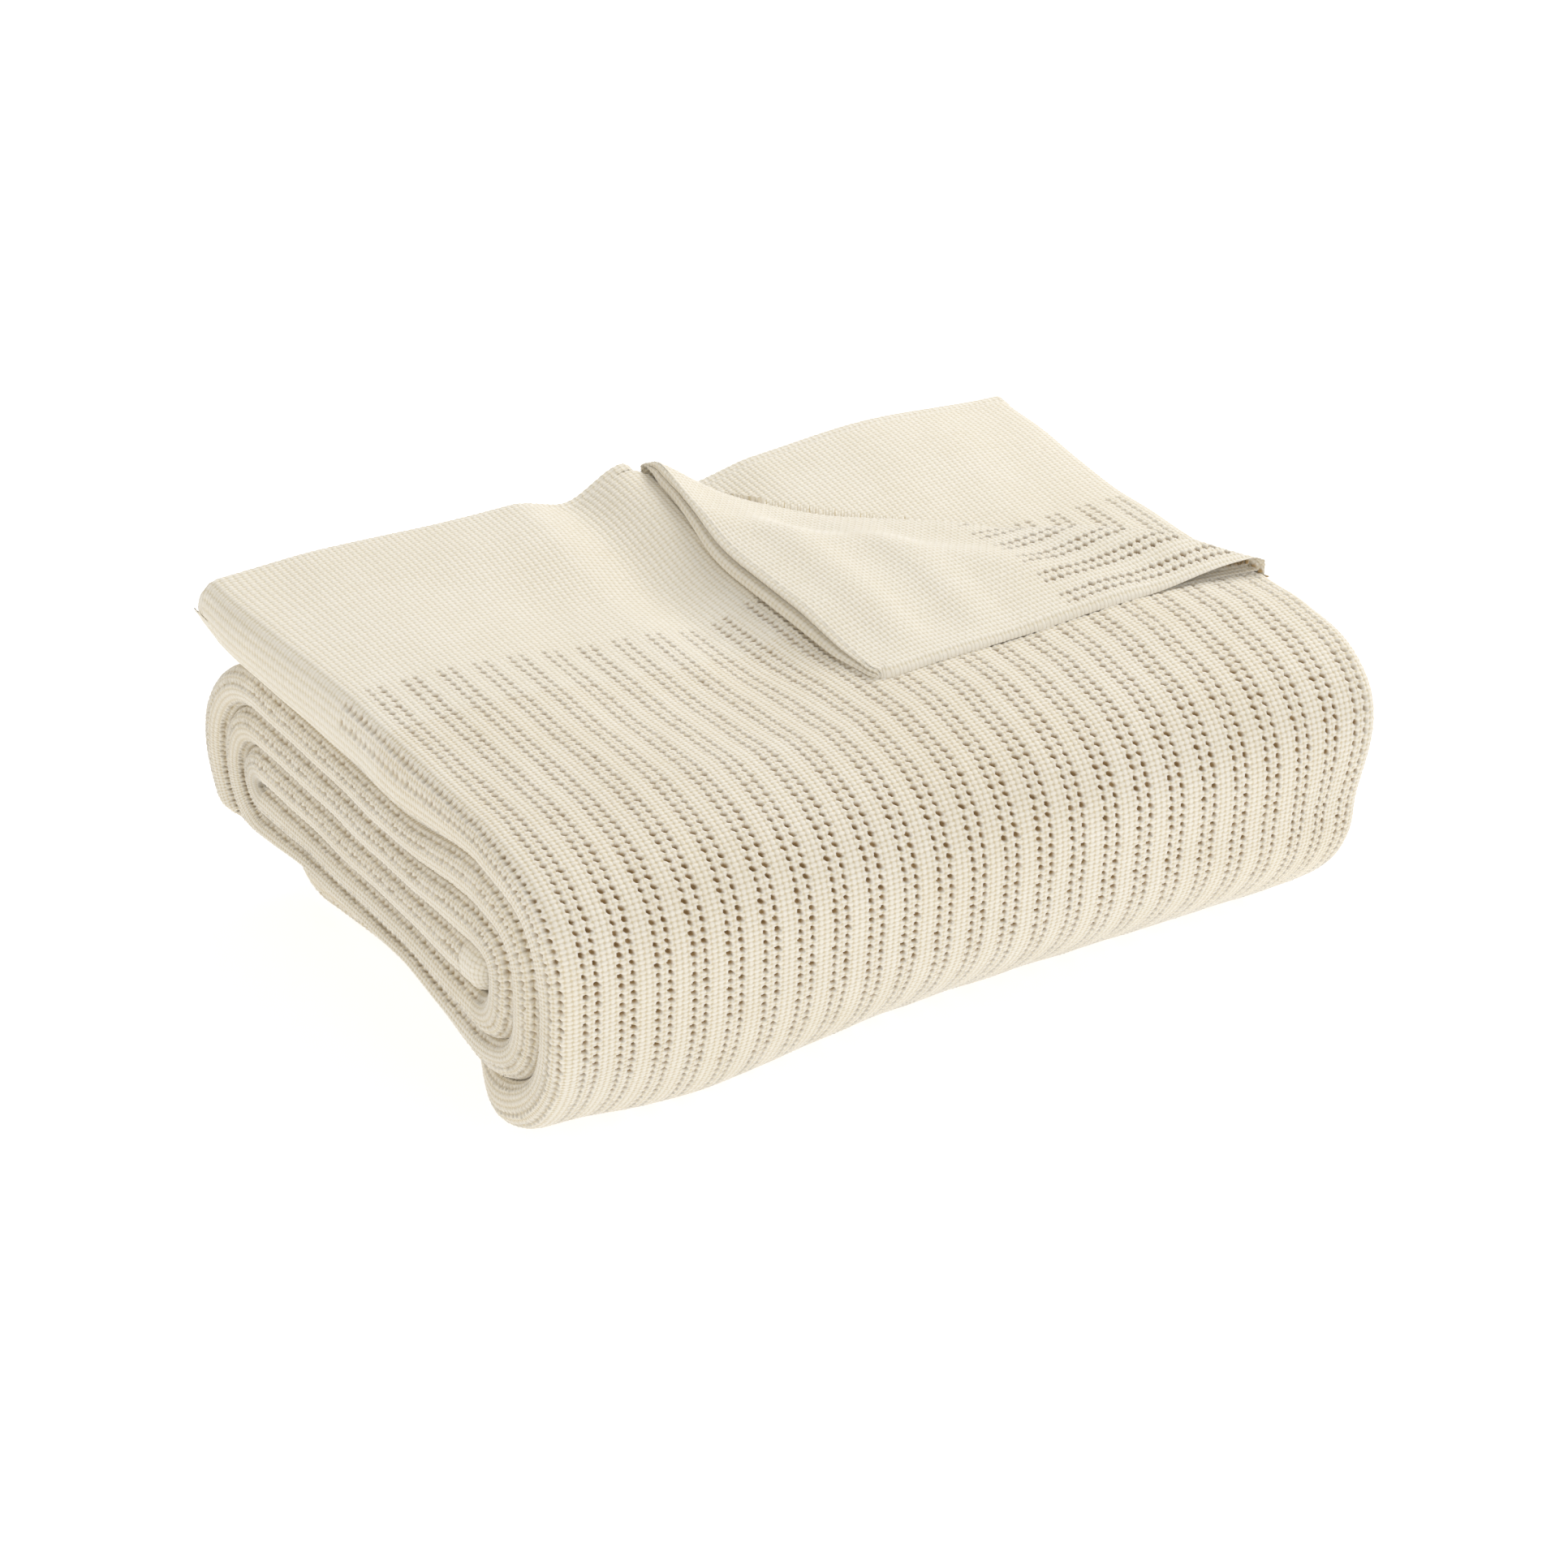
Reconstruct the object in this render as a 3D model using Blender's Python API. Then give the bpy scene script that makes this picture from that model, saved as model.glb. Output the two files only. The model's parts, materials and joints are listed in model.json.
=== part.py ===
"""Folded openwork throw blanket: a cloth folded in quarters, rolled flat in three turns, one corner turned back.

Metres, +Z up, +X along the roll, the rounded front of the roll towards -Y, resting on z = 0.
"""
import bmesh
import bpy
from math import cos, pi, radians, sin
from mathutils import Vector

# Driving dimensions
ROLL_LENGTH = 0.3175         # a quarter of the cloth's width of 1.27 m
FRONT_LEAF = 0.0157          # thickness of a folded leaf, four plies of cloth, at the front bends
BACK_LEAF = 0.0172           # and at the back bends, where the pile is a little higher
STRAIGHT = 0.148             # flat length of a leaf between its front and back bends
TOP_REACH = 0.0985           # y of the upper plies' hem, on the top leaf
LOWER_REACH = 0.1040         # y of the lower plies' hem, which shows behind it
CORE_SHORTFALL = 0.007       # how far the cloth's inner end stops short of the front bends
HEM_WIDTH = 0.012            # depth of the turned and stitched hems
HINGE_LEAD = 0.024           # how far in front of the flat top the top leaf starts to bend
FOLD_START = 0.0             # x where the turned corner's fold meets the hem
FOLD_DEPTH = 0.157           # how far along the right-hand end the corner is turned back
CORNER_THICK = 0.0078        # thickness of the turned corner, which is two plies
GAP = 0.0003                 # clearance between neighbouring solids
END_ROUND = 0.0035           # rounding of a leaf's edges
THIN_ROUND = 0.0018          # rounding of the edges of two plies or a hem
BEND_STEPS = 20              # facets round a half turn
HEM_STEPS = 8                # facets round the hem in the core
LEAD_STEPS = 3               # facets where the top leaf starts to bend
LEAVES = 7                   # leaves in the height of the roll
LEAST_CORE = 0.1             # leaves; a bend tighter inside than this is filled
SHARP_ANGLE = 40             # degrees; edges sharper than this are rounded
ROUND_STEPS = 3              # facets of that rounding

# Worked out from them
FRONT_RADIUS = LEAVES / 2 * FRONT_LEAF
BACK_TURNS = LEAVES / 2 - 0.5
BACK_Z = BACK_TURNS * BACK_LEAF
FRONT_Z = FRONT_RADIUS
DEPTH = STRAIGHT + FRONT_RADIUS + BACK_Z
FRONT_Y = FRONT_RADIUS - DEPTH / 2
BACK_Y = FRONT_Y + STRAIGHT
LEFT = -ROLL_LENGTH / 2
RIGHT = ROLL_LENGTH / 2
LEAD_ANGLE = HINGE_LEAD / FRONT_RADIUS
HINGE_Y = FRONT_Y - FRONT_RADIUS * sin(LEAD_ANGLE)
HINGE_Z = FRONT_Z + FRONT_RADIUS * cos(LEAD_ANGLE)


def level_z(level, y):
    """Height of a level, counted in leaves, where the pile stands at y: it rises a little towards the back."""
    return level * (FRONT_LEAF + (BACK_LEAF - FRONT_LEAF) * (y - FRONT_Y) / STRAIGHT)


def on_top(x, y):
    """The point over x, y that is just clear of the top leaf's face."""
    return Vector((x, y, level_z(LEAVES, y) + GAP))


FOLD_A = on_top(FOLD_START, TOP_REACH)
FOLD_B = on_top(RIGHT, TOP_REACH - FOLD_DEPTH)
FOLD_DIR = (FOLD_B - FOLD_A).normalized()
FOLD_SIDE = Vector((FOLD_DIR.y, -FOLD_DIR.x, 0)).normalized()      # points away from the corner, over the leaf


def material(name, colour, roughness=0.92):
    """A matt cotton finish of its own for one sub-part."""
    mat = bpy.data.materials.new(name)
    mat.use_nodes = True
    shader = mat.node_tree.nodes["Principled BSDF"]
    shader.inputs["Base Color"].default_value = (*colour, 1)
    shader.inputs["Roughness"].default_value = roughness
    shader.inputs["Metallic"].default_value = 0.0
    return mat


def add(name, bm, rounding, pivot, colour):
    """Turns a bmesh in world coordinates into a named object whose origin is its pivot."""
    bmesh.ops.recalc_face_normals(bm, faces=bm.faces)
    bmesh.ops.translate(bm, verts=bm.verts, vec=-pivot)
    mesh = bpy.data.meshes.new(name)
    bm.to_mesh(mesh)
    bm.free()
    obj = bpy.data.objects.new(name, mesh)
    bpy.context.collection.objects.link(obj)
    obj.location = pivot
    obj.data.materials.append(material(name + "_cotton", colour))
    if rounding:
        bevel = obj.modifiers.new("soft edges", "BEVEL")
        bevel.width = rounding
        bevel.segments = ROUND_STEPS
        bevel.limit_method = "ANGLE"
        bevel.angle_limit = radians(SHARP_ANGLE)
    return obj


def prism(outline, start, run):
    """A closed prism: the outline, a list of points, is swept along the vector run."""
    bm = bmesh.new()
    near = [bm.verts.new(start + p) for p in outline]
    cap = bm.faces.new(near)
    out = bmesh.ops.extrude_face_region(bm, geom=[cap])
    far = [v for v in out["geom"] if isinstance(v, bmesh.types.BMVert)]
    bmesh.ops.translate(bm, verts=far, vec=run)
    return bm


def across(outline):
    """A prism along the roll from a list of (y, z) points."""
    points = [Vector((0, y, z)) for y, z in outline]
    return prism(points, Vector((LEFT, 0, 0)), Vector((ROLL_LENGTH, 0, 0)))


def arc(y, z, radius, first, last, steps=BEND_STEPS):
    """Points of an arc in the end view; angles in radians, 0 towards +Y and turning towards +Z."""
    turn = [first + (last - first) * i / steps for i in range(steps + 1)]
    return [(y + radius * cos(a), z + radius * sin(a)) for a in turn]


def leaf(name, level, colour, front=FRONT_Y):
    """One flat leaf of the roll; level 0 lies on the ground."""
    y0, y1 = front + GAP / 2, BACK_Y - GAP / 2
    lift = GAP / 2 if level else 0
    outline = [(y0, level_z(level, y0) + lift), (y1, level_z(level, y1) + lift),
               (y1, level_z(level + 1, y1) - GAP / 2), (y0, level_z(level + 1, y0) - GAP / 2)]
    add(name, across(outline), END_ROUND, Vector((0, 0, 0)), colour)


def bend(name, turns_out, centre, thick, first, last, colour):
    """A leaf's half turn round a centre (y, z); turns_out counts leaves from there to the leaf's middle."""
    y, z = centre
    outermost = turns_out > LEAVES / 2 - 1
    outer = (turns_out + 0.5) * thick - (0 if outermost else GAP / 2)
    inner = (turns_out - 0.5) * thick
    outline = arc(y, z, outer, first, last)
    if inner > LEAST_CORE * thick:
        outline += reversed(arc(y, z, inner + GAP / 2, first, last))
    add(name, across(outline), END_ROUND, Vector((0, 0, 0)), colour)


def back_bend(name, turns_out, colour):
    bend(name, turns_out, (BACK_Y + GAP / 2, BACK_Z), BACK_LEAF, -pi / 2, pi / 2, colour)


def front_bend(name, turns_out, colour, first=pi / 2):
    bend(name, turns_out, (FRONT_Y - GAP / 2, FRONT_Z), FRONT_LEAF, first, 1.5 * pi, colour)


def core_hem(colour):
    """The hem of the cloth's inner end, rounded towards the front inside the innermost bend."""
    half = FRONT_LEAF / 2 - GAP
    middle = (LEAVES - 1) / 2
    hem_y = FRONT_Y + CORE_SHORTFALL - GAP / 2
    nose_y = hem_y - HEM_WIDTH / 2
    outline = arc(nose_y, level_z(LEAVES / 2, nose_y), half, pi / 2, 1.5 * pi, HEM_STEPS)
    outline += [(hem_y, level_z(middle, hem_y) + GAP), (hem_y, level_z(middle + 1, hem_y) - GAP)]
    add("inner_hem", across(outline), THIN_ROUND, Vector((0, 0, 0)), colour)


def roll():
    """The body of the roll: six leaves and six bends, wound from the core outwards."""
    cream = (0.80, 0.74, 0.62)
    shade = (0.76, 0.69, 0.56)
    leaf("core_leaf", 3, shade, front=FRONT_Y + CORE_SHORTFALL)
    leaf("lower_inner_leaf", 2, shade)
    leaf("upper_inner_leaf", 4, shade)
    leaf("lower_middle_leaf", 1, shade)
    leaf("upper_middle_leaf", 5, shade)
    leaf("bottom_leaf", 0, cream)
    back_bend("inner_back_bend", 0.5, shade)
    back_bend("middle_back_bend", 1.5, shade)
    back_bend("outer_back_bend", 2.5, cream)
    front_bend("inner_front_bend", 1, shade)
    front_bend("middle_front_bend", 2, shade)
    front_bend("outer_front_bend", 3, cream, pi / 2 + LEAD_ANGLE)
    core_hem(shade)


def plies_outline(low, high, clear_low, clear_high, reach):
    """End view of two plies of the top leaf between two levels: flat, with the start of the front bend."""
    lead = pi / 2 + LEAD_ANGLE - GAP / FRONT_RADIUS
    r0 = low * FRONT_LEAF - FRONT_Z + clear_low
    r1 = high * FRONT_LEAF - FRONT_Z - clear_high
    under = arc(FRONT_Y, FRONT_Z, r0, lead, pi / 2, LEAD_STEPS)
    over = arc(FRONT_Y, FRONT_Z, r1, lead, pi / 2, LEAD_STEPS)
    back = [(reach, level_z(low, reach) + clear_low), (reach, level_z(high, reach) - clear_high)]
    return under + back + list(reversed(over))


def hem_outline(low, high, clear_low, clear_high, reach):
    """End view of two plies' hems between two levels, ending at reach."""
    y0, y1 = reach - HEM_WIDTH, reach
    return [(y0, level_z(low, y0) + clear_low), (y1, level_z(low, y1) + clear_low),
            (y1, level_z(high, y1) - clear_high), (y0, level_z(high, y0) - clear_high)]


def corner_cutter(clearance):
    """A prism over everything on the corner's side of the fold line, clearance away from it."""
    far = FOLD_DIR * ROLL_LENGTH
    edge = FOLD_SIDE * clearance
    a = FOLD_A - far + edge
    b = FOLD_B + far + edge
    a.z = b.z = 0
    out = FOLD_SIDE * -ROLL_LENGTH
    well_above = Vector((0, 0, level_z(2 * LEAVES, BACK_Y)))
    bm = prism([a, b, b + out, a + out], Vector((0, 0, 0)), well_above)
    return add("corner_cutter", bm, 0, Vector((0, 0, 0)), (0.5, 0.5, 0.5))


def cut(obj, cutter):
    """Applies an exact difference of the cutter, before the soft edges."""
    boolean = obj.modifiers.new("turned corner", "BOOLEAN")
    boolean.operation = "DIFFERENCE"
    boolean.object = cutter
    obj.modifiers.move(len(obj.modifiers) - 1, 0)
    cut_mesh = bpy.data.meshes.new_from_object(obj.evaluated_get(bpy.context.evaluated_depsgraph_get()))
    old = obj.data
    obj.modifiers.clear()
    obj.data = cut_mesh
    bpy.data.meshes.remove(old)


def top_leaf():
    """The outermost leaf: two lower plies right across, and two upper plies without their turned corner."""
    pivot = Vector((0, HINGE_Y, HINGE_Z))
    cream = (0.84, 0.79, 0.68)
    lower = (LEAVES - 1, LEAVES - 0.5, GAP / 2, GAP / 2)
    upper = (LEAVES - 0.5, LEAVES, GAP / 2, 0)
    lower_end = LOWER_REACH - HEM_WIDTH - GAP
    upper_end = TOP_REACH - HEM_WIDTH - GAP
    add("lower_plies", across(plies_outline(*lower, lower_end)), THIN_ROUND, pivot, cream)
    add("lower_hem", across(hem_outline(*lower, LOWER_REACH)), THIN_ROUND, pivot, cream)
    upper_plies = add("upper_plies", across(plies_outline(*upper, upper_end)), THIN_ROUND, pivot, cream)
    upper_hem = add("upper_hem", across(hem_outline(*upper, TOP_REACH)), THIN_ROUND, pivot, cream)
    cutter = corner_cutter(GAP + THIN_ROUND)
    cut(upper_plies, cutter)
    cut(upper_hem, cutter)
    bpy.data.objects.remove(cutter)


def mirrored(point):
    """The place of a point of the flat corner once it is turned back over the fold."""
    along = FOLD_DIR * (point - FOLD_A).dot(FOLD_DIR)
    return FOLD_A + along * 2 - (point - FOLD_A)


def along_fold(y):
    """The point of the fold line at y."""
    return FOLD_A + (FOLD_B - FOLD_A) * ((FOLD_A.y - y) / (FOLD_A.y - FOLD_B.y))


def turned_corner():
    """The corner of the upper plies, turned back over the fold, with its own stretch of hem."""
    cream = (0.82, 0.76, 0.64)
    pivot = (FOLD_A + FOLD_B) / 2
    thick = Vector((0, 0, CORNER_THICK))
    clear = FOLD_SIDE * (GAP + THIN_ROUND)
    hem_y = TOP_REACH - HEM_WIDTH
    flap = [along_fold(hem_y - GAP) + clear, mirrored(on_top(RIGHT, hem_y - GAP)), FOLD_B + clear]
    add("turned_corner", prism(flap, Vector((0, 0, 0)), thick), THIN_ROUND, pivot, cream)
    tail = FOLD_DIR * 2 * END_ROUND
    strip = [FOLD_A + clear + tail, along_fold(hem_y) + clear, mirrored(on_top(RIGHT, hem_y)),
             mirrored(on_top(RIGHT, TOP_REACH)), mirrored(on_top(FOLD_START + 2 * END_ROUND, TOP_REACH))]
    add("corner_hem", prism(strip, Vector((0, 0, 0)), thick), THIN_ROUND, pivot, cream)


def main():
    for obj in list(bpy.data.objects):
        bpy.data.objects.remove(obj)
    roll()
    top_leaf()
    turned_corner()


main()
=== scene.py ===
"""The looks of a folded openwork throw blanket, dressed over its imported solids.

Metres, +Z up, +X along the roll, the rounded front towards -Y. The cloth is followed along the
roll's spiral from the hem on top to the hem in the core. v counts weft yarns from the outer hem
and u counts warp yarns across. Both stay with the cloth wherever it goes, so the yarns and holes
line up everywhere.
"""
import json
from math import cos, pi, radians, sin

import bpy
import numpy as np
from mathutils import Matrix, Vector


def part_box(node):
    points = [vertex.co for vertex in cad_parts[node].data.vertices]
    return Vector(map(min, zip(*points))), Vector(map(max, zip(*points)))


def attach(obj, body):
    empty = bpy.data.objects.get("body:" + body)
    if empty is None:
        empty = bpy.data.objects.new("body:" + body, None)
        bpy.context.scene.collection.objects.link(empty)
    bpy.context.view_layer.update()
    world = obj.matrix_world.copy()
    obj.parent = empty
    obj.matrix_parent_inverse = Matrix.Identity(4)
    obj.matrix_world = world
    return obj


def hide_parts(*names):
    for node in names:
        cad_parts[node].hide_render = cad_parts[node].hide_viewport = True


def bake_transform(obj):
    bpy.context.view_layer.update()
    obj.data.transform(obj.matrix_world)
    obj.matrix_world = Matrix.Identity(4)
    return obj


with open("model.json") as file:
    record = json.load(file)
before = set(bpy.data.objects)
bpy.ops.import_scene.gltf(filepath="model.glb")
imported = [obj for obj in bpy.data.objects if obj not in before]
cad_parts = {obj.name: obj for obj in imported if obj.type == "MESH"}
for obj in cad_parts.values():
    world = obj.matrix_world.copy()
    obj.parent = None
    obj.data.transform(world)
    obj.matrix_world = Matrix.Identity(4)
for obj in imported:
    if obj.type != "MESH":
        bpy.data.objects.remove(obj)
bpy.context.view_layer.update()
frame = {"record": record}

# ---------------------------------------------------------------- sizes taken from the solids
BOTTOM_LOW, BOTTOM_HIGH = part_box("bottom_leaf")
LEFT, RIGHT = BOTTOM_LOW.x, BOTTOM_HIGH.x
FRONT_Y, BACK_Y = BOTTOM_LOW.y, BOTTOM_HIGH.y      # where the flat leaves meet the bends
TOP_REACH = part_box("upper_hem")[1].y
LOWER_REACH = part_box("lower_hem")[1].y
CORE_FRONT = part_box("core_leaf")[0].y
FRONT_Z = (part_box("inner_hem")[0].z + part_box("inner_hem")[1].z) / 2
LEAF = FRONT_Z / 3.5                               # four plies, at the front bends
BACK_SWELL = BOTTOM_HIGH.z / LEAF                  # how much thicker a leaf is at the back
PLIES = LEAF / 2                                   # two plies
BACK_Z = 3 * LEAF
JOINTS = {joint["name"]: joint for joint in frame["record"]["behaviour"]["joints"]}
FOLD_MID = Vector(JOINTS["corner_unfold"]["pos_m"])
FOLD_AXIS = Vector(JOINTS["corner_unfold"]["axis"])
FOLD_DIR = -Vector((FOLD_AXIS.x, FOLD_AXIS.y, 0)).normalized()   # along it, from hem to end
FOLD_OUT = Vector((-FOLD_DIR.y, FOLD_DIR.x, 0))    # across it, to where the corner was
FOLD_LENGTH = 2 * (RIGHT - FOLD_MID.x) / FOLD_DIR.x
FOLD_A = FOLD_MID - FOLD_DIR * (FOLD_LENGTH / 2)   # where the fold meets the hem

# ---------------------------------------------------------------- the cloth
WARP = 0.002147          # pitch of the yarns that run along the cloth
WEFT = 0.001575          # pitch of the yarns across it
CELL = 6                 # warps from one pair of hole columns to the next
PAIR = 2                 # warps between the two columns of a pair
FIRST_PAIR = -0.1475     # x of a pair's left column
BAND_UPPER = 0.088       # width of the dense band behind the openwork, on the upper plies
BAND_LOWER = 0.078       # the same on the lower plies
BAND_TURNED = 0.079      # and on the side that the turned corner shows
OPEN_RISE = 0.00055      # how far a yarn stands over its crossings in the openwork
BAND_RISE = 0.00048      # and in the band
CROSSING = 0.58          # share of a yarn's height that it owes to lying on top
YARN_ROUND = 0.7         # below 1 a yarn's back is flatter and its gap narrower
SLUB = 0.15              # how unevenly the yarns are spun
HOLE_DEPTH = 0.0022
HOLE_WIDE = 0.44         # half width of a hole, in warps
HOLE_TALL = 0.53         # half height of a hole, in wefts
HOLE_SLANT = 0.30        # how far a hole's upper end leans, in warps per weft
HOLE_EDGE = 1.35         # how far out a hole's soft edge starts, 1 being its outline
HOLE_STRAY = 0.10        # how far a hole strays from its place, in yarns
SIZE_VARIES, SLANT_VARIES, DEPTH_VARIES = 0.16, 0.6, 0.16
RIDGE_PALER = 0.45       # how much less painted shade the holes get on the ridges at a leaf's ends
HEM = 0.0115             # width of the turned hem
GAP = 0.0002             # left free between faces
SKIN = LEAF / 2 - GAP    # from a leaf's middle to its face
FINE = (4, 3)            # samples per warp and per weft where the cloth is seen closely
MEDIUM = (3, 2)
SPARSE = 18              # a face against a neighbour keeps only every so many samples
UNEVEN = 0.0006          # height of the cloth's soft swellings
UNEVEN_SIZES = (0.085, 0.047, 0.028)


def smooth(t):
    """A soft step from 0 to 1."""
    t = np.clip(t, 0, 1)
    return t * t * (3 - 2 * t)


def step(t, start, length):
    """A soft step from 0 to 1 that begins at start and is over after length."""
    return smooth((t - start) / length)


def fade(t, start, length):
    """A soft step from 1 down to 0."""
    return 1 - step(t, start, length)


def hump(t, middle, half):
    """A soft hump of height 1 at the middle that has faded out half a width away."""
    return smooth(1 - np.abs((t - middle) / half))


def wave(t, height, middle, half):
    """A hump of a given height."""
    return height * hump(t, middle, half)


def ripple(x, y, sizes):
    """Gentle unevenness between about -1 and 1: two crossing waves for each length in sizes.

    The factors only turn the waves every way and keep them out of step."""
    total = 0
    for k, size in enumerate(sizes):
        turn = 2 * pi / size
        total = total + np.sin(
            turn * (x * cos(1.3 * k + 0.4) + y * sin(1.3 * k + 0.4)) + 1.7 * k)
        total = total + np.sin(
            turn * 0.83 * (x * cos(2.1 * k + 2.0) + y * sin(2.1 * k + 2.0)) + 4.1 * k)
    return total / (2 * len(sizes))


# ---------------------------------------------------------------- the spiral, seen from the end
TURNS = 3


def flat_run(y0, y1, level, up):
    """A flat stretch: its ends, its height in leaves and the side its outer face looks to."""
    return {"y0": y0, "y1": y1, "z": level * LEAF, "up": up, "length": abs(y1 - y0)}


def bend(y, z, radius, first):
    """A half turn about (y, z), its radius in leaves, from the angle first."""
    return {"y": y, "zc": z, "r": radius * LEAF, "first": first,
            "length": pi * (radius + 0.5) * LEAF}


SPIRAL = [flat_run(TOP_REACH, FRONT_Y, 6.5, 1)]
for turn in range(TURNS):
    end = CORE_FRONT if turn == TURNS - 1 else FRONT_Y
    SPIRAL.append(bend(FRONT_Y, FRONT_Z, 3 - turn, pi / 2))
    SPIRAL.append(flat_run(FRONT_Y, BACK_Y, 0.5 + turn, -1))
    SPIRAL.append(bend(BACK_Y, BACK_Z, 2.5 - turn, -pi / 2))
    SPIRAL.append(flat_run(BACK_Y, end, 5.5 - turn, 1))
STARTS = np.cumsum([0] + [run["length"] for run in SPIRAL]) / WEFT    # v where each one starts
CORE_END = STARTS[-1]


def rows(first, last, per_weft):
    """Rows of cloth from v first to v last.

    Gives the centreline's y and z, its outward normal's y and z, and v."""
    v = np.arange(round(first * per_weft), round(last * per_weft) + 1) / per_weft
    out = np.zeros((5, len(v)))
    out[4] = v
    which = np.clip(np.searchsorted(STARTS, v, side="right") - 1, 0, len(SPIRAL) - 1)
    for k, run in enumerate(SPIRAL):
        here = which == k
        share = (v[here] - STARTS[k]) * WEFT / run["length"]
        if "r" in run:
            angle = run["first"] + share * pi
            ny, nz = np.cos(angle), np.sin(angle)
            out[:4, here] = run["y"] + run["r"] * ny, run["zc"] + run["r"] * nz, ny, nz
        else:
            y = run["y0"] + (run["y1"] - run["y0"]) * share
            out[:4, here] = y, np.full_like(y, run["z"]), 0 * y, np.full_like(y, run["up"])
    return out


# ---------------------------------------------------------------- a leaf's outline, end on
RIDGE = 0.0095           # how far the edge of a leaf bulges at the plies' end
CREASE = RIDGE * 0.9     # and at the creased end
CREASE_FULL = 0.6        # below 1 the crease is fuller than a half ellipse
PLY_FULL = 0.7           # the same for each of two plies
PLY_DIP = 0.42           # how full the dip between the two plies is
EDGE_STEPS = 241
EDGE_MARGIN = 0.014      # width beside the ends where both faces carry yarns


def crease_swell(around):
    """One rounded crease."""
    return np.sin(around).clip(0) ** CREASE_FULL


def plies_swell(around):
    """The edges of two pairs of plies with a dip between them."""
    each = np.abs(np.sin(2 * around)) ** PLY_FULL
    return PLY_DIP * np.sqrt(np.sin(around).clip(0)) + (1 - PLY_DIP) * each


def closed_outline():
    """Outline of a leaf: x, n, p and marks along p.

    n points out of the spiral. p runs across the cloth and is x on the outer face."""
    x0, x1 = LEFT + RIDGE, RIGHT - RIDGE
    around = np.linspace(0, pi, EDGE_STEPS)
    edge_n = SKIN * np.cos(around)
    right_x, left_x = RIDGE * plies_swell(around), -CREASE * crease_swell(around)
    right_p, left_p = (np.concatenate([[0], np.cumsum(np.hypot(np.diff(x), np.diff(edge_n)))])
                       for x in (right_x, left_x))
    x = np.concatenate([(x0 + left_x)[::-1], x1 + right_x, [x0]])
    n = np.concatenate([edge_n[::-1], edge_n, [-SKIN]])
    p = np.concatenate([(x0 - left_p)[::-1], x1 + right_p, [x1 + right_p[-1] + x1 - x0]])
    return x, n, p, {"left": x0 - left_p[-1], "right": x1 + right_p[-1], "around": p[-1]}


OUTLINE = closed_outline()


def columns(per_warp, faces):
    """Samples round the outline: x, n, u and whether a sample carries yarns.

    faces tells which faces show: both, the outer one, or only the edges at the ends."""
    x, n, p, marks = OUTLINE
    k = np.arange(np.ceil((marks["left"] - FIRST_PAIR) / WARP * per_warp),
                  (marks["around"] - FIRST_PAIR) / WARP * per_warp)
    u = k / per_warp
    at = FIRST_PAIR + u * WARP
    sx, sn = np.interp(at, p, x), np.interp(at, p, n)
    on_outer = (at > LEFT + RIDGE) & (at < RIGHT - RIDGE)
    on_inner = at > marks["right"]
    shown = np.abs(sx) > (RIGHT - LEFT) / 2 - EDGE_MARGIN
    count = np.arange(len(u))
    if faces != "edges":
        shown = shown | on_outer
    if faces == "both":
        shown = shown | (on_inner & (count % 2 == 0))
    keep = shown | (count % SPARSE == 0)
    return sx[keep], sn[keep], u[keep], shown[keep]


# ---------------------------------------------------------------- how the neat roll has settled
# A pair is where a soft step starts and its length, or a hump's middle and half width. ALONG is
# measured from the roll's middle, towards the end in question, and LEVELS in leaves.
TOP_LEVELS = (5.7, 1.0)                            # from here up it is the top leaf
CREASED_ALONG, BEHIND_BENDS = (0.060, 0.100), (-0.004, 0.055)
END_LIFT = 0.0095        # the lower leaves ride up at the creased end
END_SAG = 0.0080         # and the ones above sink under the puffy top leaf
LIP_ALONG, LIP_BACK = (0.115, 0.045), (0.005, 0.085)
LIP_DROOP = 0.0015       # the top leaf's back corner hangs
LIP_FLARE, FLARE_ALONG = 0.0040, (0.120, 0.040)    # and reaches out
HEM_TURN = 0.0065        # its hem runs further back towards the creased end
HEM_TURN_ALONG, HEM_TURN_BACK = (0.020, 0.110), (-0.020, 0.100)
HOLLOW = 0.0060          # the top sinks a little in the middle
HOLLOW_ALONG, HOLLOW_FRONT, HOLLOW_BACK = (-0.042, 0.080), (-0.110, 0.090), (0.030, 0.050)
RIGHT_RISE = 0.0020      # and stands higher at the plies' end
RISE_ALONG, RISE_ACROSS = (0.050, 0.050), (-0.050, 0.090)
TUCK = 0.0210            # the bottom leaf is tucked in at the creased end
TUCK_ALONG, TUCK_BEHIND, TUCK_LEVELS = (0.100, 0.060), (-0.018, 0.060), (0.45, 1.15)
FOOT_LIFT = 0.0055       # and its corner is rounded off the ground
FOOT_ALONG, FOOT_BACK, FOOT_LEVELS = (0.090, 0.070), (-0.045, 0.070), (1.0, 2.0)
BACK_PULL, BACK_PULL_RUN = 0.0060, 0.040           # the back bends are pulled in there
SHOULDER, SHOULDER_AT = 0.0065, (53, 40)           # the front bends are fuller above
SHOULDER_MORE, SHOULDER_ALONG = 0.2, (0.040, 0.080)
CHIN, CHIN_AT = 0.0045, (142, 45)                  # and below, at angles from the top
CHIN_LEFT, CHIN_RIGHT, CHIN_ALONG = 0.5, -1.0, (-0.110, 0.110)
PULL_IN = 0.0090         # the plies' end draws in low down at the front
PULL_ALONG, PULL_BEHIND, PULL_LEVELS = (0.115, 0.045), (-0.030, 0.050), (3.2, 3.0)


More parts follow.
